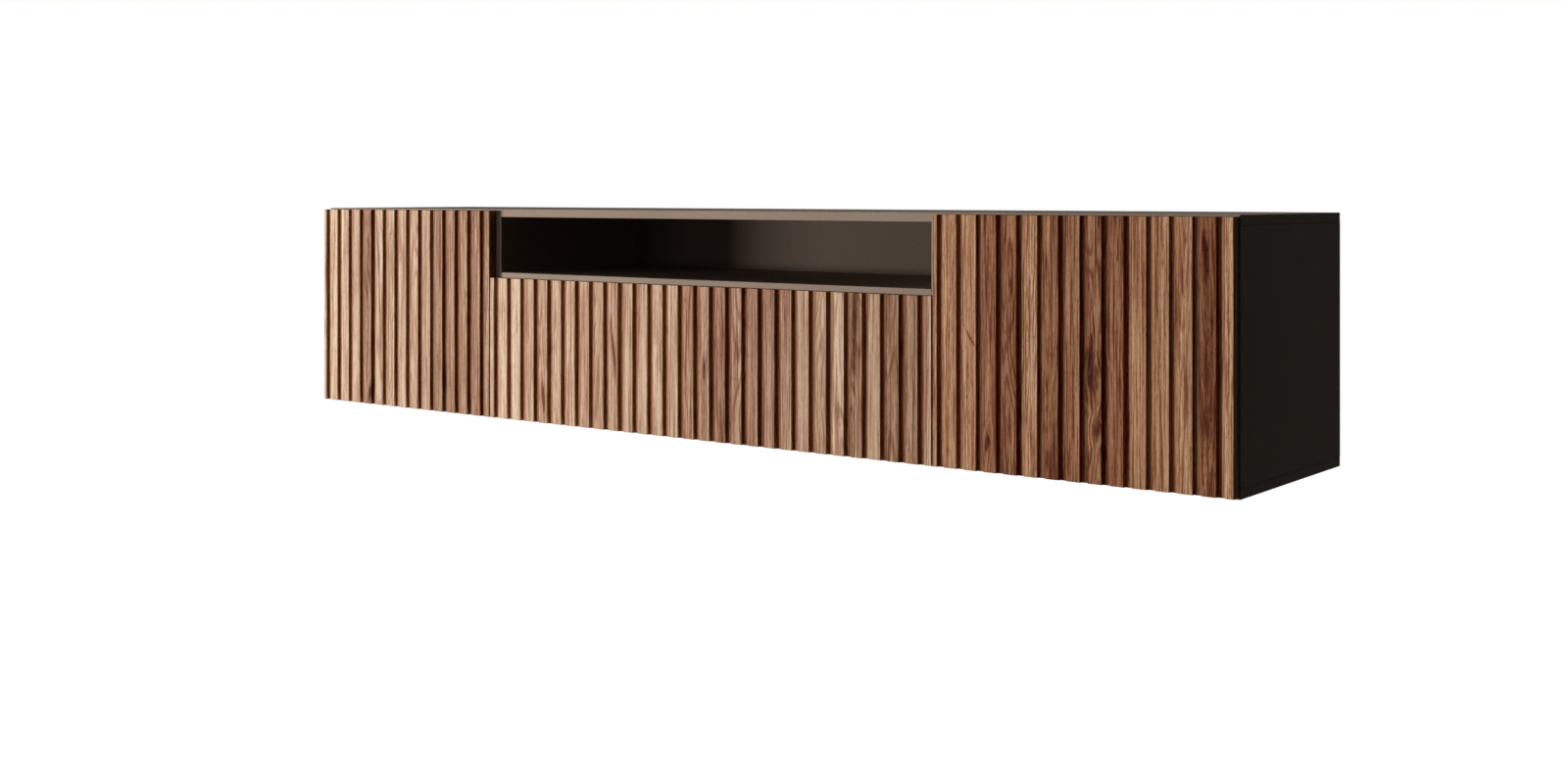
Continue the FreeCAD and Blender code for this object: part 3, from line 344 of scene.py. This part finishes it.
cam_radius, cam_depth = 0.0074, 0.0096
cam_lines, cam_levels = (-0.100, -0.290), (-0.298, 0.024)
outer_board, inner_board = 0.9852, 0.5123
for side, face, out in (("left_outer", -outer_board, 1), ("left_inner", -inner_board, -1),
                        ("right_inner", inner_board, 1), ("right_outer", outer_board, -1)):
    cams = heads(f"{side}_cams", [(face - out * cam_depth, line, level)
                                  for line in cam_lines for level in cam_levels],
                 (out, 0, 0), cam_radius, cam_depth, "carcass", zinc_casting, "cam_zinc")
    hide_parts("cam_fittings")

# ---------------------------------------------------------------------------------------------
# Back panel
# Thin hard fibreboard, dark brown on both faces. It closes the niche and the bays, and is let
# into a rebate in the rear edges of the boards.

board = Finish("dark_fibreboard", level=0.05, roughness=0.6)
fibre = board.noise(board.space, scale=420.0, detail=4.0, roughness=0.6)
tone = board.mixed(board.ranged(fibre, 0.3, 0.7), (0.050, 0.034, 0.025), (0.068, 0.047, 0.034))
dressed(board.wear(tone, relief=fibre, height=0.0001, strength=0.5), "back_panel")

# ---------------------------------------------------------------------------------------------
# Cable grommet
# Moulded black ring pushed into the cable outlet from inside. A rounded lip lies on the back
# panel, and a sleeve behind it lines the cut.

moulded = Finish("black_moulding", level=0.35, colour=(0.02, 0.02, 0.02))
grain = moulded.noise(moulded.space, scale=1400.0, detail=2.0)
black_moulding = moulded.wear(roughness=moulded.ranged(grain, 0.3, 0.7, 0.42, 0.6),
                              relief=grain, height=0.00004)

outlet_level = -0.252
lip_length, lip_height = 0.088, 0.058
lip_corner, lip_round = 0.0128, 0.0010
lip_front, panel_face, sleeve_end = -0.0050, -0.0031, -0.0002
sleeve_inset, ring_width = 0.0042, 0.0068
near = 0.0001
bpy.ops.object.select_all(action="DESELECT")
bpy.ops.mesh.primitive_cube_add(size=1, scale=(lip_length, panel_face - lip_front, lip_height),
                                location=(0, (panel_face + lip_front) / 2, outlet_level))
settle()
pick("EDGE", lambda middle, run: abs(run.y) > 0.9)
bpy.ops.mesh.bevel(offset=lip_corner, segments=6)
pick("EDGE", lambda middle, run: middle.y < lip_front + near)
bpy.ops.mesh.bevel(offset=lip_round, segments=3)
pick("FACE", lambda middle, facing: facing.y > 0.9)
bpy.ops.mesh.inset(thickness=sleeve_inset)
bpy.ops.mesh.extrude_region_move(TRANSFORM_OT_translate={"value": (0, sleeve_end - panel_face, 0)})
bpy.ops.mesh.inset(thickness=ring_width - sleeve_inset)
pick("FACE", lambda middle, facing: facing.y < -0.9)
bpy.ops.mesh.inset(thickness=ring_width - lip_round)
pick("FACE", lambda middle, facing: abs(facing.y) > 0.9 and abs(middle.x) < near
     and abs(middle.z - outlet_level) < near)
bpy.ops.mesh.bridge_edge_loops()
settle()
fitted("cable_grommet", black_moulding, "carcass")

# ---------------------------------------------------------------------------------------------
# Shelf pins
# Short zinc-plated steel pins, four under each loose shelf. They are pushed into holes bored in
# the side panels and dividers.

zinc = Finish("bright_zinc", metallic=1.0)
bloom = zinc.noise(zinc.space, scale=900.0, detail=3.0)
patch = zinc.noise(zinc.space, scale=60.0, detail=2.0)
tone = zinc.mixed(zinc.ranged(patch, 0.3, 0.7), (0.56, 0.57, 0.59), (0.72, 0.72, 0.71))
bright_zinc = zinc.wear(tone, zinc.ranged(bloom, 0.3, 0.7, 0.24, 0.42), bloom,
                        height=0.00002, strength=0.5)
dressed(bright_zinc, "shelf_pins")

# ---------------------------------------------------------------------------------------------
# Slatted fronts
# Board faced with walnut veneer and milled into upright slats, so that each slat shows its own
# strip of grain. Oiled, with open pores. Some strips are redder, and a few have knots.


def slat_veneer(name, first_groove, pale, groove_shade, drawn, heart, marks):
    """Walnut whose grain changes from slat to slat. Density says how dark and red the wood is.

    Pale is the bare sapwood, groove the painted shade multiplied into the deep floors and walls
    of the grooves, and drawn how strong the dark lines are. The heart slats are numbered from the
    left. Each mark is a knot or streak: its x and z, half its width and height, its lean, and how
    dark it is.
    """
    pitch, slat_face, groove_floor = 0.0356, -0.4078, -0.4035
    dark_wood, back_foil = (0.46, 0.315, 0.255, 1), (0.262, 0.200, 0.156)
    draw_step, first_draw = 0.731, 17.3
    jump_across, jump_in, jump_up = 9.0, 5.0, 7.0
    bend_reach, bend_share = 9.0, 0.8
    ring_pace, raggedness = 80.0, 2.4
    tint_weight, heart_weight, heart_lines = 0.24, 0.34, 0.3
    halo, pith = (5.0, 0.6, 0.8), (1.2, 0.2, 1.8)

    walnut = Finish(name, level=0.04)
    place = walnut.sum("DIVIDE", walnut.sum("SUBTRACT", walnut.x, first_groove), pitch)
    number = walnut.sum("FLOOR", place)
    draw = add_node(walnut.tree, "ShaderNodeTexWhiteNoise",
                    {"W": walnut.sum("MULTIPLY_ADD", number, draw_step, first_draw)},
                    noise_dimensions="1D")
    split = add_node(walnut.tree, "ShaderNodeSeparateXYZ", {0: draw.outputs["Color"]})
    tint, shift, kind = split.outputs

    spots = []
    bend = 0.0
    for x, z, width, height, lean, depth in marks:
        rise = walnut.sum("SUBTRACT", walnut.z, z)
        side = walnut.sum("SUBTRACT", walnut.sum("SUBTRACT", walnut.x, x),
                          walnut.sum("MULTIPLY", rise, lean))
        side = walnut.sum("DIVIDE", side, width)
        climb = walnut.sum("DIVIDE", rise, height)
        far = walnut.sum("MULTIPLY_ADD", side, side, walnut.sum("MULTIPLY", climb, climb))
        spots.append((far, depth))
        push = walnut.ranged(far, bend_reach, 0.0, 0.0, -bend_share * width)
        bend = walnut.sum("ADD", bend, walnut.sum("MULTIPLY", side, push))
    jump = add_node(walnut.tree, "ShaderNodeCombineXYZ",
                    {0: walnut.sum("MULTIPLY_ADD", shift, jump_across, bend),
                     1: walnut.sum("MULTIPLY", kind, jump_in),
                     2: walnut.sum("MULTIPLY", tint, jump_up)})
    own = add_node(walnut.tree, "ShaderNodeVectorMath", {0: walnut.space, 1: jump.outputs[0]},
                   operation="ADD").outputs[0]

    def along(stretch):
        """The slat's own space, drawn out along the grain."""
        node = add_node(walnut.tree, "ShaderNodeVectorMath", {0: own, 1: (1, 1, stretch)},
                        operation="MULTIPLY")
        return node.outputs[0]

    sweep = walnut.noise(along(0.10), scale=30.0, detail=1.0, roughness=0.4, distortion=0.4)
    bands = walnut.noise(along(0.030), scale=130.0, detail=3.0, roughness=0.6, distortion=0.3)
    lines = walnut.noise(along(0.020), scale=380.0, detail=3.0, roughness=0.75, distortion=0.15)
    pores = walnut.noise(along(0.08), scale=1100.0, detail=2.0, roughness=0.6)
    rings = walnut.sum("SINE", walnut.sum("MULTIPLY", sweep, ring_pace))
    core = 0.0
    for slat in heart:
        core = walnut.sum("MAXIMUM", core, walnut.sum("COMPARE", number, slat, 0.5))
    figure = walnut.sum("MULTIPLY", walnut.ranged(rings, 0.1, 1.0),
                        walnut.ranged(kind, 0.3, 0.8, 0.05, 0.40))
    for layer, low, high, weight in ((bands, 0.40, 0.62, 0.30), (lines, 0.49, 0.60, 0.62),
                                     (pores, 0.56, 0.66, 0.45)):
        figure = walnut.sum("ADD", figure, walnut.ranged(layer, low, high, 0.0, weight))
    density = walnut.sum("MULTIPLY_ADD", tint, tint_weight,
                         walnut.sum("MULTIPLY", core, heart_weight))
    strength = walnut.sum("MULTIPLY_ADD", core, heart_lines * drawn, drawn)
    density = walnut.sum("MULTIPLY_ADD", figure, strength, density)
    fray = walnut.noise(along(0.2), scale=120.0, detail=3.0, roughness=0.6)
    fray = walnut.sum("SUBTRACT", fray, 0.5)
    for far, depth in spots:
        edge = walnut.sum("MULTIPLY_ADD", fray, raggedness, far)
        for outer, inner, weight in (halo, pith):
            density = walnut.sum("ADD", density,
                                 walnut.ranged(edge, outer, inner, 0.0, weight * depth))
    stain = add_node(walnut.tree, "ShaderNodeGamma", {"Color": dark_wood, "Gamma": density})
    colour = walnut.mixed(1.0, pale, stain.outputs[0], "MULTIPLY")
    # Painted shade: the deeper a point lies in a groove, on its floor or upright walls, the more
    # its colour is multiplied by the groove tint.
    facing = add_node(walnut.tree, "ShaderNodeTexCoord").outputs["Normal"]
    facing = add_node(walnut.tree, "ShaderNodeSeparateXYZ", {0: facing})
    level = walnut.ranged(walnut.sum("ABSOLUTE", facing.outputs[2]), 0.5, 0.2)
    painted_groove_shade = walnut.sum("MULTIPLY", level, walnut.ranged(walnut.y, slat_face, groove_floor))
    colour = walnut.mixed(painted_groove_shade, colour, groove_shade, "MULTIPLY")
    colour = walnut.mixed(walnut.ranged(facing.outputs[1], 0.6, 0.9), colour, back_foil)
    gloss = walnut.ranged(bands, 0.3, 0.7, 0.48, 0.6)
    relief = walnut.sum("SUBTRACT", walnut.ranged(lines, 0.7, 0.4),
                        walnut.ranged(pores, 0.6, 0.75))
    return walnut.wear(colour, gloss, relief, height=0.00015, strength=0.5)


# Groove tints of painted shade: brown for the left door and the flap, a lighter red for the right
# door.
brown_groove_shade, red_groove_shade = (0.68, 0.46, 0.31), (0.85, 0.75, 0.68)
dressed(slat_veneer("walnut_left", first_groove=-0.9835, pale=(0.665, 0.53, 0.398),
                    groove_shade=brown_groove_shade, drawn=1.1, heart=(3, 9, 10, 11, 12, 13),
                    marks=[(-0.858, -0.06, 0.005, 0.10, 0.03, 0.35),
                           (-0.852, -0.315, 0.004, 0.018, 0.15, 0.9),
                           (-0.630, -0.27, 0.003, 0.016, 0.0, 0.6)]), "left_door")
dressed(slat_veneer("walnut_flap", first_groove=-0.4815, pale=(0.735, 0.578, 0.428),
                    groove_shade=brown_groove_shade, drawn=1.1,
                    heart=(13, 14, 15, 16, 17, 18, 19, 23, 25, 26),
                    marks=[(-0.356, -0.285, 0.004, 0.026, -0.08, 0.75),
                           (-0.178, -0.190, 0.003, 0.035, -0.12, 0.70),
                           (0.035, -0.210, 0.003, 0.016, 0.1, 0.6),
                           (0.352, -0.13, 0.005, 0.07, 0.02, 0.7)]), "flap")
dressed(slat_veneer("walnut_right", first_groove=0.5155, pale=(0.69, 0.445, 0.272),
                    groove_shade=red_groove_shade, drawn=1.6, heart=(2, 3, 5, 6, 7, 8, 12),
                    marks=[(0.7815, -0.185, 0.009, 0.020, 0.05, 0.55),
                           (0.7760, -0.140, 0.003, 0.030, 0.10, 0.4),
                           (0.7850, -0.256, 0.006, 0.009, 0.0, 0.4),
                           (0.5700, -0.130, 0.002, 0.014, -0.6, 0.4),
                           (0.9605, -0.130, 0.008, 0.120, 0.0, 0.22),
                           (0.9550, 0.005, 0.003, 0.045, -0.03, 0.7),
                           (0.6000, -0.29, 0.004, 0.016, 0.2, 0.6)]), "right_door")

# ---------------------------------------------------------------------------------------------
# Concealed hinges
# Nickel-plated steel cups in bored recesses, with a link, pins and a sprung arm. Each arm is
# held by two adjusting screws on a winged plate, and cups and plates are screwed to the boards.

nickel = Finish("nickel_plate", metallic=1.0)
cloud = nickel.noise(nickel.space, scale=110.0, detail=3.0)
brush = nickel.noise(nickel.stretched((1, 12, 1)), scale=500.0, detail=2.0)
tone = nickel.mixed(nickel.ranged(cloud, 0.3, 0.7), (0.60, 0.58, 0.55), (0.70, 0.68, 0.65))
nickel_plate = nickel.wear(tone, nickel.ranged(brush, 0.3, 0.7, 0.2, 0.36), brush,
                           height=0.00002, strength=0.4)
for front in ("left", "right", "flap"):
    for part in ("cups", "links", "arms", "plates"):
        dressed(nickel_plate, f"{front}_hinge_{part}")
    dressed(bright_zinc, f"{front}_hinge_pins")

# Radius and height of each kind of head, then where its foot stands.
cup_screw, plate_screw, arm_screw = (0.0034, 0.0009), (0.0036, 0.0012), (0.0024, 0.0036)
cup_steps, plate_steps = (-0.0235, 0.0235), (-0.014, 0.014)
cup_flange, plate_line, arm_lines = -0.391, -0.353, (-0.360, -0.342)
door_cups, door_plates, door_arms = 0.977, 0.982, 0.978
door_levels = (-0.257, -0.017)
for side, sign in (("left", -1), ("right", 1)):
    heads(f"{side}_cup_screws", [(sign * door_cups, cup_flange, level + step)
                                 for level in door_levels for step in cup_steps],
          (0, 1, 0), *cup_screw, f"{side}_door", bright_zinc)
    heads(f"{side}_plate_screws", [(sign * door_plates, plate_line, level + step)
                                   for level in door_levels for step in plate_steps],
          (-sign, 0, 0), *plate_screw, "carcass", bright_zinc)
    heads(f"{side}_arm_screws", [(sign * door_arms, line, level)
                                 for level in door_levels for line in arm_lines],
          (-sign, 0, 0), *arm_screw, "carcass", bright_zinc)
flap_cups, flap_plates, flap_arms = -0.314, -0.319, -0.315
flap_places = (-0.380, 0.0, 0.380)
heads("flap_cup_screws", [(place + step, cup_flange, flap_cups)
                          for place in flap_places for step in cup_steps],
      (0, 1, 0), *cup_screw, "flap", bright_zinc)
heads("flap_plate_screws", [(place + step, plate_line, flap_plates)
                            for place in flap_places for step in plate_steps],
      (0, 0, 1), *plate_screw, "carcass", bright_zinc)
heads("flap_arm_screws", [(place, line, flap_arms)
                          for place in flap_places for line in arm_lines],
      (0, 0, 1), *arm_screw, "carcass", bright_zinc)

# ---------------------------------------------------------------------------------------------
# Push latches
# Grey moulded housings under the top and under the niche shelf, two screws each. A light grey
# plunger presses on a zinc-plated disc in the back of the front.


def moulding(name, dark, light, roughness):
    """Moulded plastic with the fine even grain of a spark-eroded tool."""
    plastic = Finish(name, level=0.4)
    grain = plastic.noise(plastic.space, scale=1800.0, detail=2.0)
    flow = plastic.noise(plastic.space, scale=35.0, detail=2.0)
    tone = plastic.mixed(plastic.ranged(flow, 0.3, 0.7), dark, light)
    return plastic.wear(tone, plastic.ranged(grain, 0.3, 0.7, *roughness), grain,
                        height=0.00005, strength=0.7)


dressed(moulding("grey_moulding", (0.28, 0.27, 0.26), (0.35, 0.34, 0.33), (0.42, 0.58)),
        "left_latch", "right_latch", "flap_left_latch", "flap_right_latch")
dressed(moulding("light_grey_moulding", (0.51, 0.50, 0.48), (0.58, 0.57, 0.55), (0.38, 0.52)),
        "left_plunger", "right_plunger", "flap_left_plunger", "flap_right_plunger")
dressed(bright_zinc, "left_latch_disc", "right_latch_disc", "flap_latch_discs")

latch_screw = (0.0030, 0.0012)
latch_lines = (-0.366, -0.340)
door_latch, flap_latch = (0.535, 0.0455), (0.465, -0.0755)
for side, sign in (("left", -1), ("right", 1)):
    for latch, (middle, level) in ((side, door_latch), (f"flap_{side}", flap_latch)):
        heads(f"{latch}_latch_screws", [(sign * middle, line, level) for line in latch_lines],
              (0, 0, -1), *latch_screw, "carcass", bright_zinc)

# ---------------------------------------------------------------------------------------------
# Bump pads
# Clear grey silicone domes that soften the closing. They are stuck to the backs of the fronts
# at their free corners.

dressed(moulding("clear_grey_silicone", (0.50, 0.50, 0.48), (0.58, 0.58, 0.56), (0.3, 0.42)),
        "left_bump_pads", "right_bump_pads", "flap_bump_pads")

# ---------------------------------------------------------------------------------------------
# Flap stays
# Slotted arms of rolled steel strip turn on a zinc-plated lug on the flap and slide over a post
# on the divider. Lug and post have two small screws each.

rolled = Finish("rolled_steel", metallic=1.0)
scratch = rolled.noise(rolled.stretched((1, 0.08, 1)), scale=900.0, detail=3.0)
tone = rolled.mixed(rolled.ranged(scratch, 0.35, 0.65), (0.55, 0.56, 0.57), (0.68, 0.68, 0.68))
dressed(rolled.wear(tone, rolled.ranged(scratch, 0.3, 0.7, 0.28, 0.45), scratch,
                    height=0.00003, strength=0.5), "stay_arms")
dressed(bright_zinc, "stay_posts", "stay_lugs")

post_screw, lug_screw = (0.0022, 0.0008), (0.0026, 0.0008)
post_foot, post_line, post_levels = 0.4845, -0.273, (-0.2105, -0.1935)
lug_middle, lug_foot, lug_levels = 0.4678, -0.3903, (-0.1594, -0.1484)
for side, sign in (("left", -1), ("right", 1)):
    heads(f"{side}_post_screws", [(sign * post_foot, post_line, level) for level in post_levels],
          (-sign, 0, 0), *post_screw, "carcass", bright_zinc)
    heads(f"{side}_lug_screws", [(sign * lug_middle, lug_foot, level) for level in lug_levels],
          (0, 1, 0), *lug_screw, "flap", bright_zinc)

# ---------------------------------------------------------------------------------------------
# Hangers and wall plates
# Off-white moulded housings in the upper rear corners, each with two adjusting screws and a
# zinc-plated hook. It catches a pressed plate of dull galvanised steel, screwed to the wall.

dressed(moulding("off_white_moulding", (0.71, 0.70, 0.66), (0.77, 0.76, 0.73), (0.4, 0.55)),
        "left_hanger", "right_hanger")
dressed(bright_zinc, "left_hanger_hook", "right_hanger_hook")
galvanised = Finish("galvanised_steel", metallic=1.0)
spangle = galvanised.noise(galvanised.space, scale=140.0, detail=3.0)
grit = galvanised.noise(galvanised.space, scale=1500.0, detail=2.0)
tone = galvanised.mixed(galvanised.ranged(spangle, 0.35, 0.65), (0.36, 0.37, 0.38),
                        (0.46, 0.46, 0.46))
dressed(galvanised.wear(tone, galvanised.ranged(spangle, 0.3, 0.7, 0.52, 0.66), grit,
                        height=0.00002, strength=0.4), "left_wall_plate", "right_wall_plate")

hanger_screw = (0.0032, 0.0030)
hanger_middle, hanger_face, hanger_levels = 0.976, -0.072, (0.009, 0.033)
for side, sign in (("left", -1), ("right", 1)):
    heads(f"{side}_hanger_screws", [(sign * hanger_middle, hanger_face, level)
                                    for level in hanger_levels],
          (0, -1, 0), *hanger_screw, "carcass", bright_zinc)
